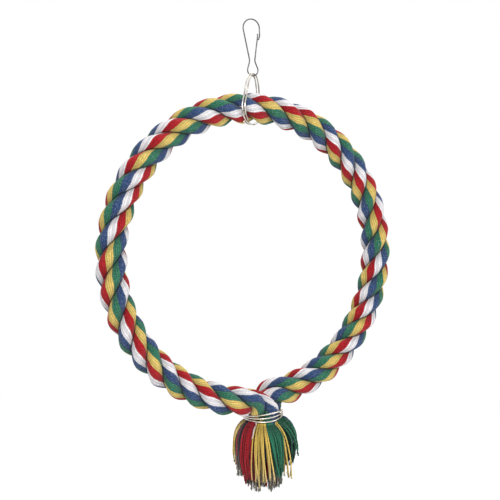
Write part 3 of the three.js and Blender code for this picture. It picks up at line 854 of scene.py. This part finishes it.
def catch_curl(tip):
    """The catch: from its tip in front of the gate, up and back into the plane of the hook."""
    aside = 2 * HOOK_R + CATCH_CLEARANCE
    knots = np.array([
        (HOOK_TOP_R - CATCH_LEAN, -aside, tip),
        (HOOK_TOP_R, -aside, tip + CATCH_LENGTH / 4),
        (HOOK_TOP_R, 0, tip + CATCH_LENGTH / 2),
        (HOOK_TOP_R, 0, HOOK_TOP[1]),
    ])
    share = np.linspace(0, 1, CURL_STEPS)[:, None]
    weights = (share**k * (1 - share) ** (3 - k) * math.comb(3, k) for k in range(4))
    return sum(weight * knot for weight, knot in zip(weights, knots))


def build_hook(material):
    left, right = (WAIST_X - WAIST_HALF, WAIST_Z), (WAIST_X + WAIST_HALF, WAIST_Z)
    top_left = touch(HOOK_TOP, HOOK_TOP_R, left, -1)
    top_left += TURN if top_left < 0 else 0
    bow_left = touch(HOOK_BOW, HOOK_BOW_R, left, 1)
    bow_right = touch(HOOK_BOW, HOOK_BOW_R, right, -1)
    bow_end = bow_right + TURN if bow_right < bow_left else bow_right
    catch_tip = HOOK_TOP[1] - CATCH_LENGTH
    top = arc(HOOK_TOP, HOOK_TOP_R, 0, top_left)
    bow = arc(HOOK_BOW, HOOK_BOW_R, bow_left, bow_end)
    waist = bend(top[-1], left, bow[0], WAIST_BEND)
    leg = straight(top[-1], waist[0], LEG_STEPS)
    foot = straight(waist[-1], bow[0], FOOT_STEPS)
    flat = np.concatenate([top[1:], leg, waist, foot, bow])
    points, size = bevelled(np.concatenate([catch_curl(catch_tip), in_plane(flat)]), HOOK_R)
    size[-1] = HOOK_R
    build_wire("hook_bent_wire", points, size, HOOK_SIDES, material, "hook", "hook_steel", "hook_wire")

    start = np.array(HOOK_BOW) + HOOK_BOW_R * np.array((math.cos(bow_right), math.sin(bow_right)))
    seat = np.array((HOOK_TOP_R - 2 * HOOK_R - CATCH_CLEARANCE, catch_tip + GATE_SEAT_RISE))
    waist = bend(start, np.array(right), seat, WAIST_BEND)
    tip = seat + GATE_TIP * np.array((-math.sin(GATE_LEAN), math.cos(GATE_LEAN)))
    rise = bend(waist[-1], seat, tip, WAIST_BEND)
    flat = np.concatenate([[start], waist, straight(waist[-1], rise[0], GATE_STEPS), rise, [tip]])
    points, size = half_ball(*bevelled(in_plane(flat), HOOK_R))
    build_wire("hook_spring_gate", points, size, HOOK_SIDES, material, "gate", "hook_steel", "hook_gate")


def run_out(points, length):
    """The winding with both ends run out straight."""
    ahead = points[0] + unit(points[0] - points[1]) * length
    behind = points[-1] + unit(points[-1] - points[-2]) * length
    return np.concatenate([[ahead], points, [behind]])


def bail_points(turn):
    even = BAIL_START - TURN * turn
    angle = even - BAIL_CROWDING * np.sin(even)
    from_top = np.arctan2(np.sin(angle), np.cos(angle))
    seat = ROPE_R + BAIL_SEAT + BAIL_R + SOFT_WIRE
    hug = seat + (BAIL_PLAY + YARN_ROOM) * np.sin(angle) ** 2
    bump = np.exp(-((from_top / BAIL_SHOULDER) ** 2))
    far = hug + (BAIL_RISE - seat) * bump
    y = far * np.sin(angle)
    shift = lerp(BAIL_SHIFT, HOOK_BOW[0] - RING_X, bump)
    along = BAIL_SKEW * y + BAIL_PITCH * (turn - BAIL_START / TURN - 0.5) + shift
    out = RING_R + far * np.cos(angle)
    swing = along / out
    return np.stack([out * np.sin(swing) + RING_X, y, out * np.cos(swing) + RING_Z], 1)


def tie_points(turn):
    angle = TIE_START + TURN * turn
    radius = NECK_R + TIE_CLEARANCE + TIE_R
    x = RING_X + NECK_X + radius * np.sin(angle)
    height = tie_lowest + TIE_PITCH * turn + tie_hang(angle, TIE_DIP - TIE_DIP_STEP * turn)
    return np.stack([x, -radius * np.cos(angle), height + RING_Z], 1)


def build_windings(material):
    bail = run_out(bail_points(np.linspace(0, BAIL_TURNS, WINDING_STEPS)), BAIL_END)
    points, size = bevelled(bail, BAIL_R + SOFT_WIRE)
    wire = (WINDING_SIDES, material)
    build_wire("bail_wound_wire", points, size, *wire, "bail", "binding_steel", "bail_wire")
    tie = run_out(tie_points(np.linspace(0, TIE_TURNS, WINDING_STEPS)), TIE_END)
    points, size = bevelled(tie, TIE_R + SOFT_WIRE)
    build_wire("tie_wound_wire", points, size, *wire, "ring", "binding_steel", "tie_wire")


# Tassel


def flare(depth, angle):
    """Width of the tassel at a depth, as a share of the neck's: the yarns spread less on the left."""
    right = (1 + np.sin(angle)) / 2
    full_depth = lerp(LEFT_FLARE_DEPTH, FLARE_DEPTH, right)
    widest = lerp(LEFT_WIDEST, TASSEL_WIDEST, right)
    wide = lerp(1, widest, np.sin(np.clip(depth / full_depth, 0, 1) ** FLARE_EARLY * math.pi / 2))
    narrow = lerp(widest, TASSEL_TIP, smooth(full_depth, TASSEL_LENGTH, depth))
    return np.where(depth < full_depth, wide, narrow)


def yarn_line(radius, neck, tip, length, pace):
    """One loose yarn from its angle under the tie down to the angle of its tip."""
    depth = np.linspace(-YARN_LEAD, length, YARN_STEPS)
    below = np.maximum(depth, 0)
    share = below / length
    loose = share**LOOSENING
    sideways, outward, _ = rng.normal(0, 1, 3)
    phase = rng.random(2) * TURN
    aside = loose * (SWAY * sideways + WAVE * np.sin(share * rng.uniform(*SIDE_WAVES) + phase[0]))
    angle = lerp(neck, tip, loose) + aside / max(radius * TASSEL_WIDEST, LEAST_ARM)
    arm = radius * flare(below * pace, angle) * (1 + OUT_SCATTER * outward * loose)
    arm += loose * WAVE * np.sin(share * rng.uniform(*OUT_WAVES) + phase[1])
    hang = radius / NECK_R * tie_hang(angle, TIE_DIP) * (1 - smooth(0, FLARE_DEPTH, below))
    x = RING_X + NECK_X + arm * np.sin(angle)
    y = -arm * np.cos(angle)
    z = rope_end - LOCK_TOP_GAP - depth + hang + RING_Z
    return np.stack([x, y, z], 1), below


def yarn_rings(line, size, sides, twist, depth):
    """Rings round a yarn, whose plies stand out by a depth and wind by a twist."""
    heading = unit(np.gradient(line, axis=0))
    across = unit(np.cross(heading, SIDEWAYS))
    along = np.cross(heading, across)
    angle = np.arange(sides) / sides * TURN
    wide = size[:, None] * (1 + depth * np.cos(YARN_PLIES * (angle - twist[:, None])))
    cos, sin = np.cos(angle)[:, None], np.sin(angle)[:, None]
    return line[:, None] + wide[..., None] * (cos * across[:, None] + sin * along[:, None])


class Bundle:
    """Collects many yarns of one colour into one mesh."""

    def __init__(self):
        self.points, self.quads, self.tris = [], [], []
        self.corners = {"run": [], "around": [], "tint": [], "tip": [], "outward": []}
        self.count = 0

    def add(self, rings, run, tip, tint):
        sides = rings.shape[1]
        points, quads, tris, columns, rows = capped(rings, self.count)
        self.points.append(points)
        self.quads.append(quads)
        self.tris.append(tris)
        self.count += len(points)
        middle = rings.mean(1, keepdims=True)
        away = (middle - (RING_X + NECK_X, 0, 0)) * (1, 1, 0)
        # how far the surface faces out of the tassel, from which the yarn material paints shade
        outward = np.sum(unit(rings - middle) * unit(away), -1)
        self.corners["run"].append(run[rows])
        self.corners["around"].append(columns / sides)
        self.corners["tint"].append(np.full(rows.shape, tint))
        self.corners["tip"].append(tip[rows])
        self.corners["outward"].append(outward[rows, columns % sides])

    def make(self, name, material, slot, nodes):
        corners = {key: np.concatenate(parts) for key, parts in self.corners.items()}
        points = np.concatenate(self.points)
        quads = np.concatenate(self.quads)
        tris = np.concatenate(self.tris)
        obj = mesh_object(name, points, quads, tris, material, "ring", slot, corners)
        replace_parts(obj, *nodes)


def add_yarn(bundle, line, below, tint, colour):
    """One yarn and the frays at its tip."""
    length = below[-1]
    share = below / length
    size = YARN_R * THICKER.get(colour, 1.0) * lerp(*TINT_SIZE, tint)
    size = size * lerp(NECK_SIZE, 1, smooth(0, NECK_GRIP, below)) * (1 - TIP_TAPER * share**3)
    twist = YARN_TWIST * below + TINT_TWIST * tint
    bundle.add(yarn_rings(line, size, YARN_SIDES, twist, PLY_DEPTH), below, share, tint)
    tip, ahead = line[-1], unit(line[-1] - line[-3])
    steps = np.linspace(0, 1, FRAY_STEPS)[:, None]
    thin = np.linspace(FRAY_R, FRAY_R * FRAY_TAPER, FRAY_STEPS)
    untwisted = np.zeros(FRAY_STEPS)
    for _ in range(FRAYS.get(colour, OTHER_FRAYS)):
        away = rng.normal(0, 1, 3)
        curl = rng.normal(0, FRAY_CURL, 3)
        fray_length = rng.uniform(*FRAY_LENGTH)
        start = tip - ahead * FRAY_ROOT + FRAY_SPREAD * away * (1, 1, 0)
        bent = away * steps**2 * FRAY_BEND + curl * np.sin(steps * FRAY_WAVE)
        fray = start + ahead * steps * fray_length + bent
        rings = yarn_rings(fray, thin, FRAY_SIDES, untwisted, 0.0)
        bundle.add(rings, steps[:, 0] * fray_length + length, np.ones(FRAY_STEPS), tint)


def lock_yarns(place, inner, outer):
    """The yarns of a lock: angle at the neck and at the tip, radius at the neck, and tint."""
    neck_low, neck_high, tip_low, tip_high = (math.radians(degrees) for degrees in place)
    clumps = max(1, round((place[3] - place[2]) / CLUMP))
    for pitch, depths, tints in LAYERS:
        count = max(FEWEST_YARNS, round((neck_high - neck_low) * NECK_R * outer / pitch))
        for k in range(count):
            across = (k + rng.uniform(*JITTER)) / count
            clump = (math.floor(across * clumps) + 0.5) / clumps
            neck = lerp(neck_low, neck_high, across)
            tip = lerp(tip_low, tip_high, lerp(across, clump, CLUMPING))
            radius = NECK_R * math.sqrt(lerp(inner**2, outer**2, rng.uniform(*depths)))
            yield neck, tip, radius, rng.uniform(*tints)


def build_tassel(materials):
    bundles = {colour: Bundle() for colour in YARN_COLOUR}
    nodes = {colour: [] for colour in YARN_COLOUR}
    for row, (outer, length, shortening, colours) in enumerate(LOCK_RINGS):
        inner = LOCK_RINGS[row + 1][0] if row + 1 < len(LOCK_RINGS) else 0
        names = colours.split()
        wide = TURN / len(names)
        for i, colour in enumerate(names):
            nodes[colour].append(f"tassel_{colour}_{len(nodes[colour]) + 1}")
            middle = FIRST_LOCK + wide * i
            uneven = RAGGED * math.sin(RAGGED_STEP * i + row)
            lock_length = length - shortening * math.sin(middle - LONG_LOCK) ** 2 + uneven
            lock_length *= TRIM.get((row, i), 1.0)
            pace = SPREAD_PACE.get((row, i), 1.0)
            sides = (math.degrees(middle - wide / 2), math.degrees(middle + wide / 2))
            for neck, tip, radius, tint in lock_yarns(PLACES.get((row, i), sides * 2), inner, outer):
                own = lock_length * rng.uniform(*OWN_LENGTH)
                line, below = yarn_line(radius, neck, tip, own, pace)
                add_yarn(bundles[colour], line, below, tint, colour)
    for colour, degrees, radius, length in STRAYS:
        angle = math.radians(degrees)
        line, below = yarn_line(radius, angle, angle, length, 1.0)
        add_yarn(bundles[colour], line, below, STRAY_TINT, colour)
    for colour, bundle in bundles.items():
        bundle.make(f"tassel_{colour}_yarns", materials[colour], f"yarn_{colour}", nodes[colour])


# Camera, light and floor

ring_middle = Vector((RING_X * MM, 0, RING_Z * MM))


def build_camera():
    data = bpy.data.cameras.new("camera")
    camera = bpy.data.objects.new("camera", data)
    bpy.context.scene.collection.objects.link(camera)
    bpy.context.scene.camera = camera
    data.sensor_width = SENSOR_WIDTH
    data.lens = FOCAL_PIXELS * SENSOR_WIDTH / IMAGE_PIXELS
    level_back = math.cos(VIEW_ELEVATION)
    back = Vector((
        math.sin(VIEW_AZIMUTH) * level_back,
        -math.cos(VIEW_AZIMUTH) * level_back,
        math.sin(VIEW_ELEVATION),
    ))
    place = ring_middle + back * VIEW_DISTANCE
    level = (-back).to_track_quat("-Z", "Y")
    pixel = VIEW_DISTANCE / FOCAL_PIXELS
    target = ring_middle + level @ Vector((-AIM_RIGHT * pixel, AIM_DOWN * pixel, 0))
    aim = (target - place).to_track_quat("-Z", "Y")
    camera.rotation_mode = "QUATERNION"
    camera.rotation_quaternion = aim @ Quaternion((0, 0, 1), VIEW_ROLL)
    camera.location = place


def add_light(name, place, size, power):
    data = bpy.data.lights.new(name, "AREA")
    data.shape = "DISK"
    data.size = size
    data.energy = power
    lamp = bpy.data.objects.new(name, data)
    bpy.context.scene.collection.objects.link(lamp)
    lamp.location = ring_middle + Vector(place)
    lamp.rotation_mode = "QUATERNION"
    lamp.rotation_quaternion = (-Vector(place)).to_track_quat("-Z", "Y")


def seen_share(tree):
    """1 for rays from the camera, from gloss and through glass, and 0 for the rest."""
    path = tree.nodes.new("ShaderNodeLightPath")
    total = path.outputs["Is Camera Ray"]
    for name in ("Is Glossy Ray", "Is Transmission Ray"):
        either = tree.nodes.new("ShaderNodeMath")
        either.operation = "MAXIMUM"
        tree.links.new(total, either.inputs[0])
        tree.links.new(path.outputs[name], either.inputs[1])
        total = either.outputs[0]
    return total


def build_world():
    world = bpy.data.worlds.new("studio")
    bpy.context.scene.world = world
    world.use_nodes = True
    tree = world.node_tree
    strength = tree.nodes.new("ShaderNodeMapRange")
    strength.inputs["To Min"].default_value = WORLD_LIGHT
    strength.inputs["To Max"].default_value = 1.0
    tree.links.new(seen_share(tree), strength.inputs["Value"])
    background = tree.nodes["Background"]
    background.inputs["Color"].default_value = (1, 1, 1, 1)
    tree.links.new(strength.outputs["Result"], background.inputs["Strength"])


def floor_material():
    look = Look("pale_floor")
    look.tree.nodes.remove(look.shader)
    seen = seen_share(look.tree)
    paper = look.node("ShaderNodeBsdfDiffuse", {"Color": rgba(FLOOR_COLOUR)})
    glow = look.node("ShaderNodeEmission", {"Strength": look.times(seen, FLOOR_GLOW)})
    near = look.node("ShaderNodeAddShader", {0: paper, 1: glow})
    # away from the object the floor goes over into the white of the background
    place = look.node("ShaderNodeTexCoord", output="Object")
    flat = look.node("ShaderNodeVectorMath", {0: place, 1: (1, 1, 0)}, operation="MULTIPLY")
    away = look.node("ShaderNodeVectorMath", {0: flat}, output="Value", operation="LENGTH")
    span = {"Value": away, 1: FLOOR_FADE[0], 2: FLOOR_FADE[1]}
    fade = look.node("ShaderNodeMapRange", span, interpolation_type="SMOOTHSTEP")
    white = look.node("ShaderNodeEmission")
    both = look.node("ShaderNodeMixShader", {0: look.times(fade, seen), 1: near, 2: white})
    look.put(look.tree.nodes["Material Output"].inputs["Surface"], both)
    return look.material


def build_floor():
    half = FLOOR_SIZE / 2
    mesh = bpy.data.meshes.new("floor")
    corners = [(x * half, y * half, -FLOOR_DROP) for x, y in ((-1, -1), (1, -1), (1, 1), (-1, 1))]
    mesh.from_pydata(corners, [], [(0, 1, 2, 3)])
    mesh.materials.append(floor_material())
    floor = bpy.data.objects.new("floor", mesh)
    bpy.context.scene.collection.objects.link(floor)


hook_steel = steel_material("hook_plate", *HOOK_PLATE)
binding_steel = steel_material("binding_plate", *BINDING_PLATE)
core_steel = steel_material("core_plain", *CORE_PLAIN)
cotton = rope_material()
for number in range(STRANDS):
    build_strand(number, cotton)
build_hook(hook_steel)
build_windings(binding_steel)
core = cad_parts["core_wire"]
core.data.materials.clear()
core.data.materials.append(core_steel)
build_tassel({colour: yarn_material(colour, shade) for colour, shade in YARN_COLOUR.items()})
build_camera()
build_world()
build_floor()
for lamp in LAMPS:
    add_light(*lamp)
bpy.context.scene.view_settings.view_transform = "Standard"
